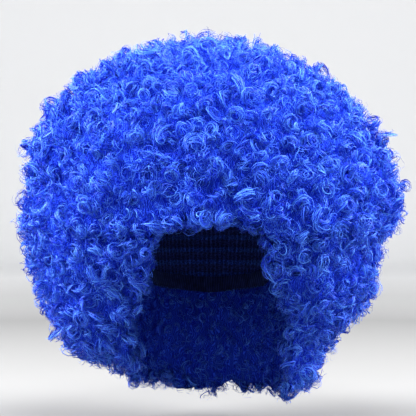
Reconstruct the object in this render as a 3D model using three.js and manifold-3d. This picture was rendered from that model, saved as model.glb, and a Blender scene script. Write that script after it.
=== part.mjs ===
// Curly afro wig: a stretch cap with an elastic edge, carrying a ball of curled hair sewn on in six zones.
// Millimetres, +Z up. The wearer faces -Y and +X is the wearer's left.
// The origin is the inside top of the cap, where the wig sits on the crown of the head.
import * as THREE from "three";
import { ConvexHull } from "three/addons/math/ConvexHull.js";
import { mergeVertices } from "three/addons/utils/BufferGeometryUtils.js";
import Module from "manifold-3d";

const wasm = await Module();
wasm.setup();

const TAU = 2 * Math.PI;
const DEG = Math.PI / 180;
const { lerp, clamp } = THREE.MathUtils;

// Head that the cap is made for: a dome above its widest level, then sections down to the neck.
const DOME_HEIGHT = 92;
const HEAD_SECTIONS = [
  { z: -92, halfWidth: 75, front: 92, back: 96 },
  { z: -120, halfWidth: 74, front: 90, back: 90 },
  { z: -150, halfWidth: 68, front: 84, back: 74 },
  { z: -178, halfWidth: 60, front: 70, back: 62 },
  { z: -260, halfWidth: 58, front: 66, back: 62 },
];

// Edge of the cap, by the angle from the middle of the forehead.
const CAP_RIM = [
  { angle: 0, z: -62 }, // hairline
  { angle: 50, z: -70 }, // temple
  { angle: 80, z: -110 }, // ear tab
  { angle: 112, z: -104 }, // behind the ear
  { angle: 146, z: -136 }, // corner of the nape
  { angle: 180, z: -140 }, // nape
];
const CAP = { wall: 2, segments: 36, rows: 7, hem: 14 };
const BAND = { width: 12, thickness: 1.4, fromEdge: 1, gap: 0.6 };

// Outline of the hair: distance from the middle of the ball, by the angle down from straight up.
const HAIR_CENTRE = new THREE.Vector3(0, 0, -70);
const HAIR_OUTLINE = [
  { polar: 0, right: 149, left: 149, front: 149, back: 149 },
  { polar: 30, right: 155, left: 152, front: 152, back: 154 },
  { polar: 60, right: 165, left: 157, front: 155, back: 161 },
  { polar: 90, right: 161, left: 165, front: 147, back: 167 },
  { polar: 100, right: 160, left: 150, front: 140, back: 167 },
  { polar: 120, right: 164, left: 156, front: 124, back: 166 },
  { polar: 135, right: 169, left: 153, front: 119, back: 168 },
  { polar: 150, right: 158, left: 172, front: 118, back: 176 },
  { polar: 165, right: 152, left: 170, front: 130, back: 170 },
  { polar: 180, right: 150, left: 150, front: 150, back: 150 },
];
const HAIR = { gapToCap: 0.6, zoneGap: 0.5 };

// Face opening: its half width by height, from the fringe down, cut forward from a plane ahead of the ears.
// Its edge is lumpy, one lump for each curl along it.
const FACE = { from: -15, depth: 190, foot: -270, lumps: 12, lumpDepth: 5 };
const FACE_ARCH = [
  { z: -79, halfWidth: 27 },
  { z: -89, halfWidth: 41 },
  { z: -112, halfWidth: 46 },
  { z: -150, halfWidth: 60 },
];

// Curl locks: each is a coil that climbs once round a dimple, with valleys between it and its neighbours.
// Depths are below the outline, and stray is how far a lock's middle wanders on a ball of radius 1.
const LOCK = {
  count: 360,
  steps: 6,
  coil: 9,
  spiral: 0.3,
  climb: 4,
  dimple: 10,
  valley: 14,
  uneven: 6,
  stray: 0.015,
};
const GOLDEN_ANGLE = Math.PI * (3 - Math.sqrt(5));

// Zones of hair, by the angle down from straight up and the angle either side of the front or the back.
const ZONE = { crownPolar: 44, napePolar: 108, fringePolar: 97, fringeHalf: 54, backHalf: 54 };
const FAR = 400;

const HAIR_MATERIAL = { color: 0x1c3fe0, roughness: 0.45, metalness: 0 };
const CAP_MATERIAL = { color: 0x10143c, roughness: 0.9, metalness: 0 };
const BAND_MATERIAL = { color: 0x0c0f2e, roughness: 0.8, metalness: 0 };

// A repeatable number from 0 to 1 for lock i, a different one for each salt.
function chance(i, salt) {
  const x = Math.sin(i * 12.9898 + salt * 78.233) * 43758.5453;
  return x - Math.floor(x);
}

// Value of a column between the two rows of a table that lie either side of a key.
function fromTable(rows, key, at, column) {
  const falling = rows[0][key] > rows[rows.length - 1][key];
  const next = rows.findIndex((row) => (falling ? row[key] <= at : row[key] >= at));
  if (next === 0) return rows[0][column];
  if (next < 0) return rows[rows.length - 1][column];
  const [a, b] = [rows[next - 1], rows[next]];
  const share = (at - a[key]) / (b[key] - a[key]);
  return lerp(a[column], b[column], share * share * (3 - 2 * share));
}

// A closed lathe whose points are moved to place(azimuth, row).
function wrappedLathe(segments, profile, place) {
  const geometry = new THREE.LatheGeometry(profile, segments);
  const position = geometry.getAttribute("position");
  const rows = profile.length;
  for (let i = 0; i <= segments; i++)
    for (let row = 0; row < rows; row++) {
      const p = place(((i % segments) / segments) * TAU, row);
      position.setXYZ(i * rows + row, p.x, p.y, p.z);
    }
  return geometry;
}

// Profile for a lathe whose first and last rows are points on its axis.
function poleToPole(rows) {
  return Array.from({ length: rows }, (_, j) => new THREE.Vector2(j % (rows - 1) ? 1 : 0, j));
}

function solidFrom(geometry) {
  geometry.deleteAttribute("normal");
  geometry.deleteAttribute("uv");
  const merged = mergeVertices(geometry, 1e-4);
  const index = merged.index.array;
  const kept = [];
  for (let i = 0; i < index.length; i += 3) {
    const [a, b, c] = [index[i], index[i + 1], index[i + 2]];
    if (a !== b && b !== c && c !== a) kept.push(a, b, c);
  }
  const build = (triVerts) =>
    new wasm.Manifold(
      new wasm.Mesh({
        numProp: 3,
        vertProperties: new Float32Array(merged.getAttribute("position").array),
        triVerts: new Uint32Array(triVerts),
      }),
    );
  const solid = build(kept);
  return solid.volume() > 0 ? solid : build(kept.reverse());
}

// The largest body of a solid, which leaves out shreds that a cut parts from it.
function mainBody(solid) {
  return solid.decompose().reduce((a, b) => (a.volume() > b.volume() ? a : b));
}

function meshFrom(solid, name, look) {
  const { vertProperties, triVerts } = solid.getMesh();
  const geometry = new THREE.BufferGeometry();
  geometry.setAttribute("position", new THREE.BufferAttribute(vertProperties, 3));
  geometry.setIndex(new THREE.BufferAttribute(triVerts, 1));
  geometry.computeVertexNormals();
  const mesh = new THREE.Mesh(geometry, new THREE.MeshStandardMaterial(look));
  mesh.name = name;
  return mesh;
}

// Point of the head form at an azimuth and height, moved outwards by offset.
function headPoint(azimuth, z, offset) {
  const level = Math.min(z, HEAD_SECTIONS[0].z);
  const rise = clamp((z - HEAD_SECTIONS[0].z) / (DOME_HEIGHT + offset), 0, 1);
  const dome = Math.sqrt(1 - rise * rise);
  const depth = Math.sin(azimuth) < 0 ? "front" : "back";
  const x = fromTable(HEAD_SECTIONS, "z", level, "halfWidth") + offset;
  const y = fromTable(HEAD_SECTIONS, "z", level, depth) + offset;
  return new THREE.Vector3(x * dome * Math.cos(azimuth), y * dome * Math.sin(azimuth), z);
}

function rimHeight(azimuth) {
  const fromFront = Math.acos(clamp(-Math.sin(azimuth), -1, 1)) / DEG;
  return fromTable(CAP_RIM, "angle", fromFront, "z");
}

// Point of the cap's surface at an azimuth: row 0 is its top, the last row its edge, the one before the hem.
function capPoint(azimuth, row, offset) {
  const { rows, hem } = CAP;
  const rim = rimHeight(azimuth);
  if (row === rows) return headPoint(azimuth, rim, offset);
  const fall = 1 - Math.cos(((row / (rows - 1)) * Math.PI) / 2);
  return headPoint(azimuth, lerp(offset, rim + hem, fall), offset);
}

function makeCap() {
  const { wall, segments, rows } = CAP;
  const place = (azimuth, row) =>
    row <= rows ? capPoint(azimuth, row, 0) : capPoint(azimuth, 2 * rows + 1 - row, wall);
  return solidFrom(wrappedLathe(segments, poleToPole(2 * rows + 2), place));
}

function makeBand() {
  const { width, thickness, fromEdge, gap } = BAND;
  const outer = -gap;
  const inner = outer - thickness;
  const corners = [
    { offset: outer, up: fromEdge + width },
    { offset: outer, up: fromEdge },
    { offset: inner, up: fromEdge },
    { offset: inner, up: fromEdge + width },
    { offset: outer, up: fromEdge + width },
  ];
  const profile = corners.map(({ offset, up }) => new THREE.Vector2(HEAD_SECTIONS[0].halfWidth + offset, up));
  const place = (azimuth, row) =>
    headPoint(azimuth, rimHeight(azimuth) + corners[row].up, corners[row].offset);
  return solidFrom(wrappedLathe(CAP.segments, profile, place));
}

// Distance of the hair's outline from the middle of the ball, in the direction of a unit vector.
function outlineRadius(direction) {
  const polar = Math.acos(clamp(direction.z, -1, 1)) / DEG;
  const azimuth = Math.atan2(direction.y, direction.x);
  const across = fromTable(HAIR_OUTLINE, "polar", polar, direction.x < 0 ? "right" : "left");
  const along = fromTable(HAIR_OUTLINE, "polar", polar, direction.y < 0 ? "front" : "back");
  return lerp(across, along, Math.sin(azimuth) ** 2);
}

// Middles of the locks: an even spread of directions from the middle of the ball, each a little astray.
function lockMiddles() {
  const { count, stray } = LOCK;
  return Array.from({ length: count }, (_, i) => {
    const z = 1 - (2 * i + 1) / count;
    const ring = Math.sqrt(1 - z * z);
    const even = new THREE.Vector3(ring * Math.cos(i * GOLDEN_ANGLE), ring * Math.sin(i * GOLDEN_ANGLE), z);
    const astray = new THREE.Vector3(chance(i, 1) - 0.5, chance(i, 2) - 0.5, chance(i, 3) - 0.5);
    return even.addScaledVector(astray, 2 * stray).normalize();
  });
}

// Directions round the coil of lock i, each with its depth below the outline.
function coilRound(middle, i) {
  const { steps, coil, spiral, climb } = LOCK;
  const east = new THREE.Vector3(0, 0, 1).cross(middle).normalize();
  const north = middle.clone().cross(east);
  const start = chance(i, 4) * TAU;
  const way = chance(i, 5) < 0.5 ? -1 : 1;
  return Array.from({ length: steps }, (_, k) => {
    const share = k / (steps - 1);
    const angle = start + way * (k / steps) * TAU;
    const radius = (coil * (1 + spiral * (0.5 - share))) / outlineRadius(middle);
    const direction = middle
      .clone()
      .addScaledVector(east, radius * Math.cos(angle))
      .addScaledVector(north, radius * Math.sin(angle))
      .normalize();
    return { direction, depth: climb * (1 - share) };
  });
}

// The net of triangles that joins a spread of directions, as triples of them.
function netOf(directions) {
  const hull = new ConvexHull().setFromPoints(directions);
  return hull.faces.map(({ edge }) => [edge, edge.next, edge.prev].map((side) => side.head().point));
}

// The ball of hair: dimples, coils and valleys joined into one closed surface.
function makeBall() {
  const depths = new Map();
  const middles = lockMiddles();
  middles.forEach((middle, i) => {
    const low = LOCK.uneven * chance(i, 6);
    depths.set(middle, LOCK.dimple + low);
    for (const { direction, depth } of coilRound(middle, i)) depths.set(direction, depth + low);
  });
  for (const [a, b, c] of netOf(middles)) depths.set(a.clone().add(b).add(c).normalize(), LOCK.valley);
  const corner = (direction) =>
    direction.clone().multiplyScalar(outlineRadius(direction) - depths.get(direction)).add(HAIR_CENTRE);
  const corners = netOf([...depths.keys()]).flat().map(corner);
  return solidFrom(new THREE.BufferGeometry().setFromPoints(corners));
}

// Room for the head and neck: up the neck from below the ball, then round the cap clear by the gap.
function makeHeadRoom() {
  const offset = CAP.wall + HAIR.gapToCap;
  const neckRows = 5;
  const foot = HEAD_SECTIONS[HEAD_SECTIONS.length - 1].z;
  const place = (azimuth, row) => {
    if (row === 0) return new THREE.Vector3(0, 0, foot);
    if (row > neckRows) return capPoint(azimuth, CAP.rows + neckRows + 1 - row, offset);
    return headPoint(azimuth, lerp(foot, rimHeight(azimuth), (row - 1) / neckRows), offset);
  };
  return solidFrom(wrappedLathe(CAP.segments, poleToPole(CAP.rows + neckRows + 2), place));
}

// Edge of the face opening seen from the front, up one side and down the other.
function archPoints() {
  const down = FACE_ARCH.map(({ z, halfWidth }) => new THREE.Vector2(halfWidth, z));
  const up = FACE_ARCH.map(({ z, halfWidth }) => new THREE.Vector2(-halfWidth, z)).reverse();
  const curve = new THREE.SplineCurve([...up, ...down]);
  const steps = 4 * FACE.lumps;
  return curve.getSpacedPoints(steps).map((point, k) => {
    const heading = curve.getTangentAt(k / steps);
    const notch = FACE.lumpDepth * (1 - Math.abs(Math.sin((k / 4) * Math.PI)));
    return point.add(new THREE.Vector2(-heading.y, heading.x).multiplyScalar(notch));
  });
}

function makeFaceOpening() {
  const { halfWidth } = FACE_ARCH[FACE_ARCH.length - 1];
  const outline = new THREE.Shape([
    new THREE.Vector2(-halfWidth, FACE.foot),
    ...archPoints(),
    new THREE.Vector2(halfWidth, FACE.foot),
  ]);
  const geometry = new THREE.ExtrudeGeometry(outline, { depth: FACE.depth, bevelEnabled: false });
  return solidFrom(geometry.rotateX(Math.PI / 2).translate(0, FACE.from, 0));
}

// A cone about the vertical through the middle of the ball, widening upwards, grown by a margin.
function upwardCone(polar, margin) {
  const rim = new THREE.Vector2(FAR * Math.sin(polar * DEG), FAR * Math.cos(polar * DEG));
  const profile = [new THREE.Vector2(0, 0), rim, new THREE.Vector2(rim.x, FAR), new THREE.Vector2(0, FAR)];
  const geometry = new THREE.LatheGeometry(profile, 48).rotateX(Math.PI / 2);
  const down = margin / Math.sin(polar * DEG);
  return solidFrom(geometry.translate(HAIR_CENTRE.x, HAIR_CENTRE.y, HAIR_CENTRE.z - down));
}

// An upright wedge about the ball's axis, centred on an azimuth, grown by a margin.
function wedge(azimuth, halfAngle, margin) {
  const outset = margin / Math.sin(halfAngle * DEG);
  const corner = (turn) => new THREE.Vector2(FAR * Math.cos(turn * DEG), FAR * Math.sin(turn * DEG));
  const corners = [-halfAngle, 0, halfAngle].map(corner);
  const outline = new THREE.Shape([new THREE.Vector2(0, 0), ...corners]);
  const geometry = new THREE.ExtrudeGeometry(outline, { depth: 2 * FAR, bevelEnabled: false });
  return solidFrom(geometry.translate(-outset, 0, -FAR).rotateZ(azimuth * DEG));
}

// The zones of hair: the ball with room for the head and face, parted by small gaps.
function makeHairZones() {
  const gap = HAIR.zoneGap / 2;
  const whole = makeBall().subtract(makeHeadRoom()).subtract(makeFaceOpening());
  const rest = whole.subtract(upwardCone(ZONE.crownPolar, gap));
  const ahead = rest.intersect(wedge(-90, ZONE.fringeHalf, -gap));
  const behind = rest.intersect(wedge(90, ZONE.backHalf, -gap));
  const brow = wedge(-90, ZONE.fringeHalf, gap).intersect(upwardCone(ZONE.fringePolar, gap));
  const sides = rest.subtract(wedge(90, ZONE.backHalf, gap)).subtract(brow);
  return {
    hair_crown: whole.intersect(upwardCone(ZONE.crownPolar, -gap)),
    hair_fringe: ahead.intersect(upwardCone(ZONE.fringePolar, -gap)),
    hair_side_left: sides.intersect(wedge(0, 90, 0)),
    hair_side_right: sides.intersect(wedge(180, 90, 0)),
    hair_back: behind.intersect(upwardCone(ZONE.napePolar, -gap)),
    hair_nape: behind.subtract(upwardCone(ZONE.napePolar, gap)),
  };
}

const wig = new THREE.Group();
wig.add(meshFrom(makeCap(), "cap", CAP_MATERIAL));
wig.add(meshFrom(makeBand(), "elastic_band", BAND_MATERIAL));
for (const [name, solid] of Object.entries(makeHairZones()))
  wig.add(meshFrom(mainBody(solid), name, HAIR_MATERIAL));

export default wig;
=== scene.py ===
"""Curly afro wig: each packed hair zone is shown as a soft mass of fibre under strands in curls.

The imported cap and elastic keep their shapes. +Z is up and the wig is worn facing -Y.
"""

import math
from typing import NamedTuple

import bmesh
import bpy
import numpy as np
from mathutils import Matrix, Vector
from mathutils.bvhtree import BVHTree
from mathutils.kdtree import KDTree


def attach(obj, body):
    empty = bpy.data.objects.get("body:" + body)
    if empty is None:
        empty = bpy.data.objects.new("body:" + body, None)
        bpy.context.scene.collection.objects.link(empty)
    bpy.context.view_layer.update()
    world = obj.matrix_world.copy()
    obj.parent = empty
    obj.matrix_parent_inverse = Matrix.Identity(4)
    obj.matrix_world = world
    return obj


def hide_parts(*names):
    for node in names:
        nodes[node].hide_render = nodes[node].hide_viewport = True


MM = 0.001
TAU = 2 * math.pi
rng = np.random.default_rng(11)

# Hair zones, and the middle of the ball that they make. A face of theirs is outer if it lies far enough from
# the middle and is turned away from it. The others are inner faces, round the hollow.
ZONES = ["hair_crown", "hair_fringe", "hair_side_left", "hair_side_right", "hair_back", "hair_nape"]
HAIR_CENTRE = np.array([0, 0, -70]) * MM
OUTER = {"reach": 108 * MM, "facing": 0.1}

# A face shows if a ray from just off it meets nothing so near
RAY = {"start": 0.1 * MM, "reach": 3 * MM}

# Points where locks may grow, and a lock's way out from an outer face: away from the middle, turned a little
# to the face, and flatter on the upper half, as the hair falls outwards there
POINTS_PER_SQUARE_MM = 0.06
FACE_SHARE = 0.35
CROWN_FLAT = 0.3


class Kind(NamedTuple):
    """A kind of lock. Lengths are in millimetres, and a pair holds the limits of a random value."""

    apart: tuple  # distance between locks on outer and on inner faces, None where none grow
    strands: int  # strands of a lock
    steps: int  # steps along a strand
    width: tuple  # width of a strand at its root
    radius: tuple  # radius of the lock
    spread: float  # radius of its innermost strands, as a share of the lock's
    turns: tuple  # turns of its strands
    rise: tuple  # height of its tips over the solid
    depth: float  # depth of its roots under the solid
    dome: float  # how much higher the strands in its middle are
    tilt: float  # how far it leans from its way out
    sway: float  # how far its strands lean from it
    stray: float  # how far its strands wander
    shades: tuple  # first of its shades, and the one after the last


# Fat clumps, open rings and small curls, single hairs that fly away, and short frizz that fills the ground
# between them and lines the hollow
KINDS = {
    "clump": Kind(
        apart=(18, None), strands=18, steps=12, width=(0.42, 0.92), radius=(6.5, 11.0), spread=0.30,
        turns=(1.0, 1.4), rise=(-2, 2), depth=8.0, dome=4.0, tilt=0.60, sway=0.22, stray=0.6, shades=(1, 4),
    ),
    "ring": Kind(
        apart=(14, None), strands=7, steps=13, width=(0.42, 0.92), radius=(4.5, 9.0), spread=0.52,
        turns=(1.2, 1.7), rise=(-2, 2.5), depth=8.0, dome=1.5, tilt=1.20, sway=0.15, stray=0.5, shades=(1, 4),
    ),
    "curl": Kind(
        apart=(12, None), strands=7, steps=11, width=(0.42, 0.88), radius=(2.8, 5.5), spread=0.42,
        turns=(1.0, 1.5), rise=(-1, 3.5), depth=8.0, dome=1.0, tilt=1.20, sway=0.20, stray=0.5, shades=(1, 4),
    ),
    "flyaway": Kind(
        apart=(9, None), strands=1, steps=13, width=(0.20, 0.36), radius=(3.0, 7.0), spread=0.60,
        turns=(0.8, 1.4), rise=(2, 8), depth=6.0, dome=0.0, tilt=0.90, sway=0.50, stray=1.0, shades=(1, 4),
    ),
    # Frizz takes the darkest shades, as painted shade of the ground between the curls
    "frizz": Kind(
        apart=(8.5, 6.5), strands=8, steps=7, width=(0.30, 0.60), radius=(4.0, 8.0), spread=0.30,
        turns=(0.50, 1.0), rise=(-3, 2), depth=5.0, dome=0.0, tilt=0.60, sway=0.40, stray=1.0, shades=(0, 2),
    ),
}

# What differs in locks on inner faces: rise and depth in millimetres, radius and lean as shares
INNER = {"rise": 2.5, "depth": 2.0, "radius": 0.8, "lean": 0.4}

# Course of a strand in every kind of lock
COURSE = {
    "droop": 0.2,  # how far all locks lean down
    "tilt": (0.3, 1.5),  # how much of its kind's tilt a lock has
    "lower": 0.45,  # how far a leaning lock comes down, as a share of its strands' radius
    "oval": (0.6, 1.05),  # length of a coil, as a share of its width
    "root": 0.3,  # radius at the root, as a share of the strand's
    "opens": (0.0, 0.3),  # where along a strand its radius grows
    "tip": (0.55, 1.0),  # radius at the tip, as a share of the strand's
    "closes": (0.5, 1.0),  # where along a strand its radius shrinks
    "climb": 1.7,  # how early a strand climbs
    "sinks": (0.55, 1.0),  # where along a strand its end sinks back
    "held": 0.4,  # how much of its wandering a strand does at the root
    "slip": 0.45,  # radians that strands turn ahead of each other, for each millimetre of stray
    "uneven": 0.8,  # how much their heights differ, for each millimetre of stray
    "wave": 0.9,  # how high their waves are, for each millimetre of stray
    "waves": (0.6, 1.6),  # waves along a strand
    "round": 0.9,  # depth of a lock's middle under its tips, as a share of its radius
}

# How far ribbons turn from facing out of their locks, and the share of their width that they lose to the tip
RIBBON = {"turn": 0.25, "taper": 0.6}

# Hair's map: shades of lock one above another, each with the strands' length up and their tints across
MAP_NAME = "OFBake"
SHADES = 4
SHADE_MARGIN = 0.04
TINT_SPAN = (0.05, 0.95)
TINT_PER_MM = 0.012

# Mass of fibre: its depth under what shows of the solids, in millimetres, the slopes down between which this
# goes from outer to below, and its softening
MASS_SINK = {"outer": 6.0, "below": 3.5, "inner": 3.0}
MASS_BELOW = (0.5, 0.95)
MASS_SOFTENING = {"passes": 2, "factor": 0.4}

# Colours, as stops of ramps
WHITE = (1.0, 1.0, 1.0)
# Random tones across the strands; the palest stop is painted highlight on the strands that take it
HAIR_TINTS_AND_HIGHLIGHTS = [
    (0.43, (0.002, 0.006, 0.36)),
    (0.48, (0.008, 0.027, 0.64)),
    (0.52, (0.030, 0.100, 0.79)),
    (0.57, (0.105, 0.330, 0.92)),
]
# Painted shade: each strand darker at its root, deep among the curls, up to its own colour at the tip
ROOT_SHADE_TO_TIP = [(0.0, (0.70, 0.70, 0.88)), (0.4, (0.94, 0.94, 0.98)), (1.0, WHITE)]
# Random tone for each lock; the darkest shades, which the frizz takes, are painted shade of the ground
# between the curls
LOCK_SHADES = [(0.12, (0.74, 0.74, 0.92)), (0.88, WHITE)]
# Painted shade: the mass's fibres coloured dark, as they lie deep under the curls
MASS_TINTS_IN_SHADE = [(0.0, (0.004, 0.014, 0.38)), (0.55, (0.011, 0.038, 0.64)), (1.0, (0.030, 0.105, 0.82))]
MASS_PATCHES = [(0.35, (0.7, 0.7, 0.85)), (0.65, WHITE)]
WEFT_TINTS = [(0.62, (0.028, 0.045, 0.26)), (0.78, (0.035, 0.095, 0.60))]
ELASTIC_TINTS = [(0.3, (0.012, 0.017, 0.080)), (0.7, (0.030, 0.045, 0.210))]
SHINE = {"specular": (0.2, 0.45, 1.0), "sheen": (0.2, 0.5, 1.0)}

# Stitches along the cap's rows of wefts, and ribs across the elastic, counted round the axis
CAP_STITCHES = 150
ELASTIC_RIBS = 240

# Studio, in metres and watts: a floor that bends up into a wall, its greys by distance, lights and camera
FLOOR = {"z": -0.25, "radius": 3.0, "bend": 0.8, "top": 2.4, "sides": 64}
# Floor greys by distance: darker near the middle as painted shade that evens out the lamps' stronger light
# there
FLOOR_GREYS = [(1.2, 0.22), (1.8, 0.46), (2.4, 0.80), (3.0, 0.90)]
FLOOR_REACH = 4.0
SKY = {"colour": (0.88, 0.92, 1.0), "strength": 0.30}
LIGHTS = {
    "left": {"at": (-1.30, -0.10, 0.78), "size": 1.1, "power": 84},
    "right": {"at": (1.30, -0.10, 0.78), "size": 1.1, "power": 74},
    "top": {"at": (0.05, -0.80, 1.20), "size": 0.6, "power": 24},
    "back": {"at": (0.30, 1.00, 1.10), "size": 0.6, "power": 9},
}
LIGHTS_AIM = (0, 0, -0.07)
CAMERA = {"x": -0.0017, "away": 1.35, "z": -0.050, "aim_z": -0.065, "view_width": 0.345, "sensor": 36}


def unit(v):
    """Vectors scaled to length 1."""
    return v / np.maximum(np.linalg.norm(v, axis=-1, keepdims=True), 1e-12)


def smooth(x, low, high):
    """A soft step from 0 at low to 1 at high."""
    s = np.clip((x - low) / (high - low), 0, 1)
    return s * s * (3 - 2 * s)


def between(limits, count):
    """A random value for each lock."""
    return rng.uniform(*limits, (count, 1, 1))


# Where locks grow


def triangles_of(mesh):
    """Corners of a mesh's triangles, (n, 3, 3)."""
    mesh.calc_loop_triangles()
    at = np.empty(len(mesh.vertices) * 3)
    mesh.vertices.foreach_get("co", at)
    corners = np.empty(len(mesh.loop_triangles) * 3, np.int32)
    mesh.loop_triangles.foreach_get("vertices", corners)
    return at.reshape(-1, 3)[corners].reshape(-1, 3, 3)


def tree_of(nodes):
    """All triangles of these nodes, for rays to hit."""
    triangles = np.concatenate([triangles_of(node.data) for node in nodes])
    faces = np.arange(len(triangles) * 3).reshape(-1, 3)
    return BVHTree.FromPolygons(triangles.reshape(-1, 3).tolist(), faces.tolist())


def is_bare(tree, at, normal):
    """True where nothing lies close over the surface, so that it shows."""
    hit = tree.ray_cast(Vector(at + normal * RAY["start"]), Vector(normal), RAY["reach"])
    return hit[0] is None


def scattered(mesh):
    """Random points on a mesh with their face normals."""
    corner, second, third = triangles_of(mesh).transpose(1, 0, 2)
    across, up = second - corner, third - corner
    cross = np.cross(across, up)
    area = np.linalg.norm(cross, axis=1) / 2
    count = int(area.sum() / MM**2 * POINTS_PER_SQUARE_MM)
    face = rng.choice(len(area), count, p=area / area.sum())
    a, b = rng.random((2, count, 1))
    fold = a + b > 1
    a, b = np.where(fold, 1 - a, a), np.where(fold, 1 - b, b)
    return corner[face] + a * across[face] + b * up[face], unit(cross[face])


def bare_surface(nodes, tree):
    """Points of the hair that show, in random order: place, way out, inner flag and zone number of each."""
    found = []
    for number, name in enumerate(ZONES):
        at, normal = scattered(nodes[name].data)
        bare = np.array([is_bare(tree, p, n) for p, n in zip(at, normal)])
        found.append((at[bare], normal[bare], np.full(bare.sum(), number)))
    at, normal, zone = (np.concatenate(column) for column in zip(*found))
    away = at - HAIR_CENTRE
    reach = np.linalg.norm(away, axis=1)
    radial = away / reach[:, None]
    outer = (reach > OUTER["reach"]) & ((normal * radial).sum(1) > OUTER["facing"])
    flat = np.where(radial[:, 2:] > 0, (1, 1, CROWN_FLAT), (1, 1, 1))
    axis = np.where(outer[:, None], unit((radial + FACE_SHARE * normal) * flat), normal)
    order = rng.permutation(len(at))
    return at[order], axis[order], ~outer[order], zone[order]


def thinned(points, apart):
    """Indices of points in order, leaving out any nearer than apart to one already kept."""
    tree = KDTree(len(points))
    for i, p in enumerate(points):
        tree.insert(p, i)
    tree.balance()
    free = np.ones(len(points), bool)
    kept = []
    for i, p in enumerate(points):
        if free[i]:
            kept.append(i)
            free[[j for _, j, _ in tree.find_range(p, apart)]] = False
    return np.array(kept)


def lock_roots(surface, apart):
    """The points of the surface where locks of one kind grow."""
    at, axis, inner, zone = surface
    kept = []
    for side, gap in zip((~inner, inner), apart):
        if gap:
            here = np.flatnonzero(side)
            here = np.roll(here, rng.integers(len(here)))
            kept.append(here[thinned(at[here], gap * MM)])
    kept = np.concatenate(kept)
    return at[kept], axis[kept], inner[kept], zone[kept]


# Strands


def strand_leans(axis, inner, kind):
    """The way that each strand leans, (locks, strands, 3), and how far its lock leans, as a sine."""
    count = len(axis)
    share = np.where(inner, INNER["lean"], 1.0)
    tilt = rng.normal((0, 0, -COURSE["droop"]), kind.tilt, (count, 1, 3))
    tilt = tilt * between(COURSE["tilt"], count) * share
    upright = (unit(axis + tilt) * axis).sum(2, keepdims=True)
    sway = rng.normal(0, kind.sway, (count, kind.strands, 3)) * share
    return unit(axis + tilt + sway), np.sqrt(np.maximum(1 - upright**2, 0))


def strand_paths(at, axis, inner, kind):
    """Points along every strand of these locks, (locks, strands, steps + 1, 3), in metres.

    With them come the way out from the lock's middle at each point, and how far along its strand it is.
    """
    count, stray = len(at), kind.stray
    each = (count, kind.strands, 1)
    axis = axis[:, None]
    inner = inner[:, None, None]
    lean, slope = strand_leans(axis, inner, kind)
    side = unit(np.cross(lean, rng.normal(0, 1, (count, 1, 3))))
    other = np.cross(lean, side)

    # Turns round the lean, at a radius that grows from the root and shrinks to the tip
    along = np.linspace(0, 1, kind.steps + 1)[None, None, :]
    spread = kind.spread + (1 - kind.spread) * np.sqrt(rng.random(each))
    radius = between(kind.radius, count) * np.where(inner, INNER["radius"], 1.0)
    size = radius * spread
    oval = between(COURSE["oval"], count)
    way = np.where(rng.random((count, 1, 1)) < 0.5, -1.0, 1.0)
    turn = rng.random((count, 1, 1)) * TAU + way * TAU * between(kind.turns, count) * along
    turn = turn + rng.normal(0, COURSE["slip"] * stray, each)
    tip = rng.uniform(*COURSE["tip"], each)
    opened = COURSE["root"] + (1 - COURSE["root"]) * smooth(along, *COURSE["opens"])
    swing = size * opened * (1 - (1 - tip) * smooth(along, *COURSE["closes"]))

    # Height along the lean, from the roots to tips that wave and sink back
    rise = between(kind.rise, count)
    climb = rise + kind.dome * (1 - spread**2) - COURSE["lower"] * slope * size
    climb = np.where(inner, INNER["rise"], climb) + rng.normal(0, COURSE["uneven"] * stray, each)
    deep = np.where(inner, INNER["depth"], kind.depth)
    height = -deep + (deep + climb) * (1 - (1 - along) ** COURSE["climb"])
    phase = rng.random(each) + rng.uniform(*COURSE["waves"], each) * along
    height = height + COURSE["wave"] * stray * np.sin(TAU * phase)
    height = height - deep * rng.random(each) * smooth(along, *COURSE["sinks"])

    along = along[..., None]
    wander = rng.normal(0, stray, (count, kind.strands, 1, 3))
    wander = wander * (COURSE["held"] + (1 - COURSE["held"]) * along)
    local = (
        (swing * np.cos(turn))[..., None] * side[:, :, None]
        + (oval * swing * np.sin(turn))[..., None] * other[:, :, None]
        + height[..., None] * lean[:, :, None]
        + wander
    )
    middle = np.where(inner, INNER["rise"], rise) - COURSE["round"] * radius
    bulge = unit(local - middle[..., None] * axis[:, None])
    return at[:, None, None] + local * MM, bulge, along


def ribbons(paths, bulge, along, kind):
    """Flat ribbons that face out of their locks, (strands, steps + 1, 2, 3), with each vertex's map place."""
    locks, strands = paths.shape[:2]
    facing = unit(bulge + rng.normal(0, RIBBON["turn"], (locks, strands, 1, 3)))
    flat = unit(np.cross(np.gradient(paths, axis=2), facing))
    width = rng.uniform(*kind.width, (locks, strands, 1, 1))
    half = width / 2 * MM * (1 - RIBBON["taper"] * along**2)
    edges = np.stack([paths - flat * half, paths + flat * half], 3)

    shade = rng.integers(*kind.shades, size=(locks, 1, 1, 1))
    up = (shade + SHADE_MARGIN + (1 - 2 * SHADE_MARGIN) * along) / SHADES
    across = rng.uniform(*TINT_SPAN, width.shape) + TINT_PER_MM * width * np.array([-0.5, 0.5])
    spots = np.stack(np.broadcast_arrays(across, up), -1)
    spots = np.broadcast_to(spots, (*edges.shape[:4], 2))
    return edges.reshape(-1, *edges.shape[2:]), spots.reshape(-1, *spots.shape[2:])


def quads_of(grid):
    """Values at the four corners of each quad of ribbons."""
    corners = [grid[:, :-1, 0], grid[:, :-1, 1], grid[:, 1:, 1], grid[:, 1:, 0]]
    return np.stack(corners, 2).reshape(-1, 4, grid.shape[-1])


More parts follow.
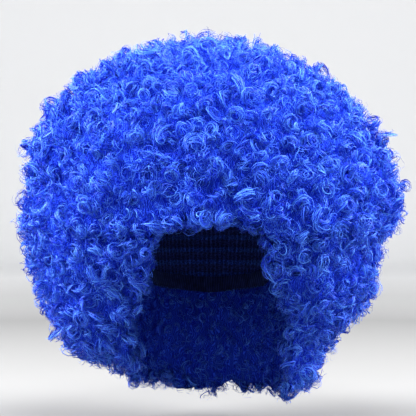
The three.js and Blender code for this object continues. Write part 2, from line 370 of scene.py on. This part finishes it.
def strand_mesh(name, batches):
    """One mesh of ribbons, with their places on the hair's map."""
    corners = []
    first = 0
    for edges, _ in batches:
        numbers = first + np.arange(edges.size // 3).reshape(*edges.shape[:3], 1)
        corners.append(quads_of(numbers))
        first += numbers.size
    corners = np.concatenate(corners)
    vertices = np.concatenate([edges.reshape(-1, 3) for edges, _ in batches])
    spots = np.concatenate([quads_of(spots) for _, spots in batches])

    mesh = bpy.data.meshes.new(name)
    mesh.vertices.add(len(vertices))
    mesh.vertices.foreach_set("co", vertices.astype(np.float32).ravel())
    mesh.loops.add(corners.size)
    mesh.loops.foreach_set("vertex_index", corners.astype(np.int32).ravel())
    mesh.polygons.add(len(corners))
    mesh.polygons.foreach_set("loop_start", np.arange(0, corners.size, 4, dtype=np.int32))
    mesh.polygons.foreach_set("use_smooth", np.ones(len(corners), bool))
    mesh.update(calc_edges=True)
    layer = mesh.uv_layers.new(name=MAP_NAME, do_init=False)
    layer.uv.foreach_set("vector", spots.astype(np.float32).ravel())
    return mesh


def make_curls(nodes, tree, material):
    """Two meshes of strands for each zone: its clumps, and all its smaller locks."""
    surface = bare_surface(nodes, tree)
    batches = {}
    for kind_name, kind in KINDS.items():
        at, axis, inner, zone = lock_roots(surface, kind.apart)
        ending = "_clumps" if kind_name == "clump" else "_curls"
        for number, name in enumerate(ZONES):
            here = zone == number
            paths, bulge, along = strand_paths(at[here], axis[here], inner[here], kind)
            batches.setdefault(name + ending, []).append(ribbons(paths, bulge, along, kind))
    for name, batch in batches.items():
        mesh = strand_mesh(name, batch)
        mesh.materials.append(material)
        curls = bpy.data.objects.new(name, mesh)
        bpy.context.collection.objects.link(curls)
        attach(curls, "root")


# Fibre mass


def drawn_in(face):
    """The move that makes room for curls over a face of the solids, and whether the face is outer."""
    away = face.calc_center_median() - Vector(HAIR_CENTRE)
    radial = away.normalized()
    if away.length < OUTER["reach"] or face.normal.dot(radial) < OUTER["facing"]:
        return -face.normal * MASS_SINK["inner"] * MM, False
    below = float(smooth(-radial.z, *MASS_BELOW))
    depth = MASS_SINK["outer"] + (MASS_SINK["below"] - MASS_SINK["outer"]) * below
    return -radial * depth * MM, True


def make_mass(node, tree, material):
    """The zone's solid, with what shows of it drawn in under the curls and softened."""
    mesh = node.data.copy()
    mesh.name = node.name + "_mass"
    shape = bmesh.new()
    shape.from_mesh(mesh)
    bmesh.ops.remove_doubles(shape, verts=shape.verts, dist=0.02 * MM)
    shape.normal_update()
    showing = {f: drawn_in(f) for f in shape.faces if is_bare(tree, f.calc_center_median(), f.normal)}
    moves = {}
    for vertex in shape.verts:
        bare = [f for f in vertex.link_faces if f in showing]
        if bare:
            areas = [f.calc_area() for f in bare]
            moves[vertex] = sum((showing[f][0] * a for f, a in zip(bare, areas)), Vector()) / sum(areas)
    for vertex, move in moves.items():
        vertex.co += move
    free = [v for v in shape.verts if all(f in showing and showing[f][1] for f in v.link_faces)]
    axes = {"use_axis_x": True, "use_axis_y": True, "use_axis_z": True}
    for _ in range(MASS_SOFTENING["passes"]):
        bmesh.ops.smooth_vert(shape, verts=free, factor=MASS_SOFTENING["factor"], **axes)
    shape.to_mesh(mesh)
    shape.free()
    mesh.shade_smooth()
    mesh.materials.clear()
    mesh.materials.append(material)
    mass = bpy.data.objects.new(mesh.name, mesh)
    bpy.context.collection.objects.link(mass)
    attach(mass, "root")
    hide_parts(node.name)


# Materials


def new_material(name, roughness):
    """A material, its node tree and its shader."""
    material = bpy.data.materials.new(name)
    material.use_nodes = True
    tree = material.node_tree
    shader = tree.nodes["Principled BSDF"]
    shader.inputs["Roughness"].default_value = roughness
    return material, tree, shader


def blue_shine(shader, level, sheen):
    """Blue highlights and a blue bloom."""
    shader.inputs["Specular IOR Level"].default_value = level
    shader.inputs["Specular Tint"].default_value = (*SHINE["specular"], 1)
    shader.inputs["Sheen Weight"].default_value = sheen
    shader.inputs["Sheen Roughness"].default_value = 0.3
    shader.inputs["Sheen Tint"].default_value = (*SHINE["sheen"], 1)


def grey(level):
    """The same in red, green and blue."""
    return (level, level, level)


def ramp(tree, fac, stops):
    """A colour from stops of place and colour."""
    node = tree.nodes.new("ShaderNodeValToRGB")
    tree.links.new(fac, node.inputs["Fac"])
    elements = node.color_ramp.elements
    while len(elements) < len(stops):
        elements.new(0.5)
    for element, (place, colour) in zip(elements, stops):
        element.position = place
        element.color = (*colour, 1)
    return node.outputs["Color"]


def multiply(tree, a, b):
    """The product of two colours."""
    node = tree.nodes.new("ShaderNodeMix")
    node.data_type = "RGBA"
    node.blend_type = "MULTIPLY"
    node.inputs["Factor"].default_value = 1
    tree.links.new(a, node.inputs["A"])
    tree.links.new(b, node.inputs["B"])
    return node.outputs["Result"]


def math_node(tree, operation, a, b):
    """A math operation on output a and number b."""
    node = tree.nodes.new("ShaderNodeMath")
    node.operation = operation
    tree.links.new(a, node.inputs[0])
    node.inputs[1].default_value = b
    return node.outputs["Value"]


def texture(tree, kind, vector, **values):
    """A texture node, with underscores for spaces in its inputs' names."""
    node = tree.nodes.new("ShaderNodeTex" + kind)
    tree.links.new(vector, node.inputs["Vector"])
    for name, value in values.items():
        node.inputs[name.replace("_", " ")].default_value = value
    return node


def object_place(tree):
    """Where on the object a point is."""
    return tree.nodes.new("ShaderNodeTexCoord").outputs["Object"]


def bumped(tree, shader, height, distance):
    """Relief on the shader's surface."""
    bump = tree.nodes.new("ShaderNodeBump")
    bump.inputs["Strength"].default_value = 0.9
    bump.inputs["Distance"].default_value = distance
    tree.links.new(height, bump.inputs["Height"])
    tree.links.new(bump.outputs["Normal"], shader.inputs["Normal"])


def round_axis(tree, where, count):
    """A wave that repeats so many times round the upright axis."""
    turn = texture(tree, "Gradient", where)
    turn.gradient_type = "RADIAL"
    return math_node(tree, "SINE", math_node(tree, "MULTIPLY", turn.outputs["Fac"], TAU * count), 0)


def hair_material():
    """Strands tinted across the hair's map, the palest as painted highlight, darker at the root as painted
    shade, in locks of several shades, the frizz's darkest as painted shade.
    """
    material, tree, shader = new_material("hair_fibre", roughness=0.46)
    blue_shine(shader, level=0.3, sheen=0.15)
    spot = tree.nodes.new("ShaderNodeUVMap")
    spot.uv_map = MAP_NAME
    split = tree.nodes.new("ShaderNodeSeparateXYZ")
    tree.links.new(spot.outputs["UV"], split.inputs["Vector"])
    stripes = tree.nodes.new("ShaderNodeTexNoise")
    stripes.noise_dimensions = "1D"
    stripes.inputs["Scale"].default_value = 110
    tree.links.new(split.outputs["X"], stripes.inputs["W"])
    # random tone of each strand, the palest ones as painted highlight
    tint = ramp(tree, stripes.outputs["Fac"], HAIR_TINTS_AND_HIGHLIGHTS)
    level = math_node(tree, "MULTIPLY", split.outputs["Y"], SHADES)
    # painted shade, darker towards each strand's root
    length = ramp(tree, math_node(tree, "FRACT", level, 0), ROOT_SHADE_TO_TIP)
    # random tone of each lock, darkest on the frizz as painted shade
    shade = ramp(tree, split.outputs["Y"], LOCK_SHADES)
    tree.links.new(multiply(tree, multiply(tree, tint, length), shade), shader.inputs["Base Color"])
    return material


def mass_material():
    """Swirling fibres coloured dark as painted shade, as they show deep between the curls on top."""
    material, tree, shader = new_material("hair_mass", roughness=0.6)
    blue_shine(shader, level=0.03, sheen=0.0)
    where = object_place(tree)
    fibres = texture(tree, "Wave", where, Scale=190, Distortion=24, Detail=2, Detail_Scale=0.7).outputs["Fac"]
    patches = texture(tree, "Noise", where, Scale=70, Detail=3).outputs["Fac"]
    # dark fibre tints as painted shade, with random patches
    colour = multiply(tree, ramp(tree, fibres, MASS_TINTS_IN_SHADE), ramp(tree, patches, MASS_PATCHES))
    tree.links.new(colour, shader.inputs["Base Color"])
    bumped(tree, shader, fibres, 0.8 * MM)
    return material


def cap_material():
    """Open net with rows of stitching, where the hair's wefts are sewn on."""
    material, tree, shader = new_material("cap_net", roughness=0.8)
    blue_shine(shader, level=0.15, sheen=0.2)
    where = object_place(tree)
    net = texture(tree, "Voronoi", where, Scale=420)
    net.feature = "DISTANCE_TO_EDGE"
    threads = ramp(tree, net.outputs["Distance"], [(0.03, WHITE), (0.16, grey(0.3))])
    rows = texture(tree, "Wave", where, Scale=29, Distortion=0.6, Detail_Scale=3)
    rows.bands_direction = "Z"
    weft = ramp(tree, rows.outputs["Fac"], WEFT_TINTS)
    stitch = ramp(tree, round_axis(tree, where, CAP_STITCHES), [(0.0, grey(0.45)), (0.5, WHITE)])
    colour = multiply(tree, multiply(tree, weft, threads), stitch)
    tree.links.new(colour, shader.inputs["Base Color"])
    bumped(tree, shader, multiply(tree, rows.outputs["Fac"], threads), 1.2 * MM)
    return material


def elastic_material():
    """Ribs that run across the elastic, with painted shade in the grooves between them."""
    material, tree, shader = new_material("elastic_rib", roughness=0.75)
    blue_shine(shader, level=0.15, sheen=0.2)
    where = object_place(tree)
    ribs = round_axis(tree, where, ELASTIC_RIBS)
    wear = texture(tree, "Noise", where, Scale=160, Detail=4).outputs["Fac"]
    # painted shade: darker where the ribs' relief is low
    painted_groove_shade = ramp(tree, ribs, [(0.0, grey(0.45)), (0.8, WHITE)])
    tree.links.new(multiply(tree, ramp(tree, wear, ELASTIC_TINTS), painted_groove_shade), shader.inputs["Base Color"])
    bumped(tree, shader, ribs, 0.3 * MM)
    return material


def dress(node, material):
    """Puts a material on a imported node."""
    node.data.materials.clear()
    node.data.materials.append(material)


# Stage


def turned_to(thing, aim):
    """The turn that points a light or camera at a place."""
    return (Vector(aim) - thing.location).to_track_quat("-Z", "Y").to_euler()


def floor_material():
    """Matt grey, paler with distance; the darker middle is painted shade that evens out the lamps' stronger
    light there.
    """
    material, tree, shader = new_material("floor", roughness=1.0)
    shader.inputs["Specular IOR Level"].default_value = 0
    far = tree.nodes.new("ShaderNodeVectorMath")
    far.operation = "LENGTH"
    tree.links.new(object_place(tree), far.inputs[0])
    share = math_node(tree, "MULTIPLY", far.outputs["Value"], 1 / FLOOR_REACH)
    stops = [(away / FLOOR_REACH, grey(level)) for away, level in FLOOR_GREYS]
    tree.links.new(ramp(tree, share, stops), shader.inputs["Base Color"])
    return material


def make_floor():
    """A round floor whose edge bends up into a wall."""
    z, radius, bend, sides = FLOOR["z"], FLOOR["radius"], FLOOR["bend"], FLOOR["sides"]
    bends = np.linspace(0.1, math.pi / 2, 12)
    profile = [(0, z), (radius, z)]
    profile += [(radius + bend * math.sin(a), z + bend - bend * math.cos(a)) for a in bends]
    profile += [(radius + bend, FLOOR["top"])]
    turns = np.linspace(0, TAU, sides, endpoint=False)
    points = [(r * math.cos(a), r * math.sin(a), height) for r, height in profile for a in turns]
    faces = []
    for row in range(len(profile) - 1):
        for i in range(sides):
            a, b = sides * row + i, sides * row + (i + 1) % sides
            faces.append((a, b, b + sides, a + sides))
    mesh = bpy.data.meshes.new("floor")
    mesh.from_pydata(points, [], faces)
    mesh.shade_smooth()
    mesh.materials.append(floor_material())
    floor = bpy.data.objects.new("floor", mesh)
    bpy.context.collection.objects.link(floor)


def make_lights():
    """The sky's light and the lamps."""
    world = bpy.data.worlds.new("studio")
    world.use_nodes = True
    sky = world.node_tree.nodes["Background"]
    sky.inputs["Color"].default_value = (*SKY["colour"], 1)
    sky.inputs["Strength"].default_value = SKY["strength"]
    bpy.context.scene.world = world
    for name, row in LIGHTS.items():
        data = bpy.data.lights.new(name, "AREA")
        data.shape = "DISK"
        data.size = row["size"]
        data.energy = row["power"]
        light = bpy.data.objects.new(name, data)
        bpy.context.collection.objects.link(light)
        light.location = row["at"]
        light.rotation_euler = turned_to(light, LIGHTS_AIM)


def make_camera():
    """A camera on the wig's face side that sees a set width at its middle."""
    camera = bpy.data.objects.new("camera", bpy.data.cameras.new("camera"))
    bpy.context.collection.objects.link(camera)
    camera.location = (CAMERA["x"], -CAMERA["away"], CAMERA["z"])
    camera.rotation_euler = turned_to(camera, (CAMERA["x"], 0, CAMERA["aim_z"]))
    camera.data.lens = CAMERA["sensor"] * CAMERA["away"] / CAMERA["view_width"]
    camera.data.sensor_width = CAMERA["sensor"]
    bpy.context.scene.camera = camera
    bpy.context.scene.view_settings.view_transform = "Standard"


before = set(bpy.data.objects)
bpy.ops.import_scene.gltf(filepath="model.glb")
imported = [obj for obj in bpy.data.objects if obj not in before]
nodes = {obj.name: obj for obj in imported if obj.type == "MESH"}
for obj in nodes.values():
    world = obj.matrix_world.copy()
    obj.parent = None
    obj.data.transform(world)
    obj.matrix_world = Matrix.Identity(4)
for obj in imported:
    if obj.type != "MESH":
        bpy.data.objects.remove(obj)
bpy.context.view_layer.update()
make_floor()
make_lights()
make_camera()
solids = tree_of(nodes.values())
make_curls(nodes, solids, hair_material())
tangle = mass_material()
for zone_name in ZONES:
    make_mass(nodes[zone_name], solids, tangle)
dress(nodes["cap"], cap_material())
dress(nodes["elastic_band"], elastic_material())
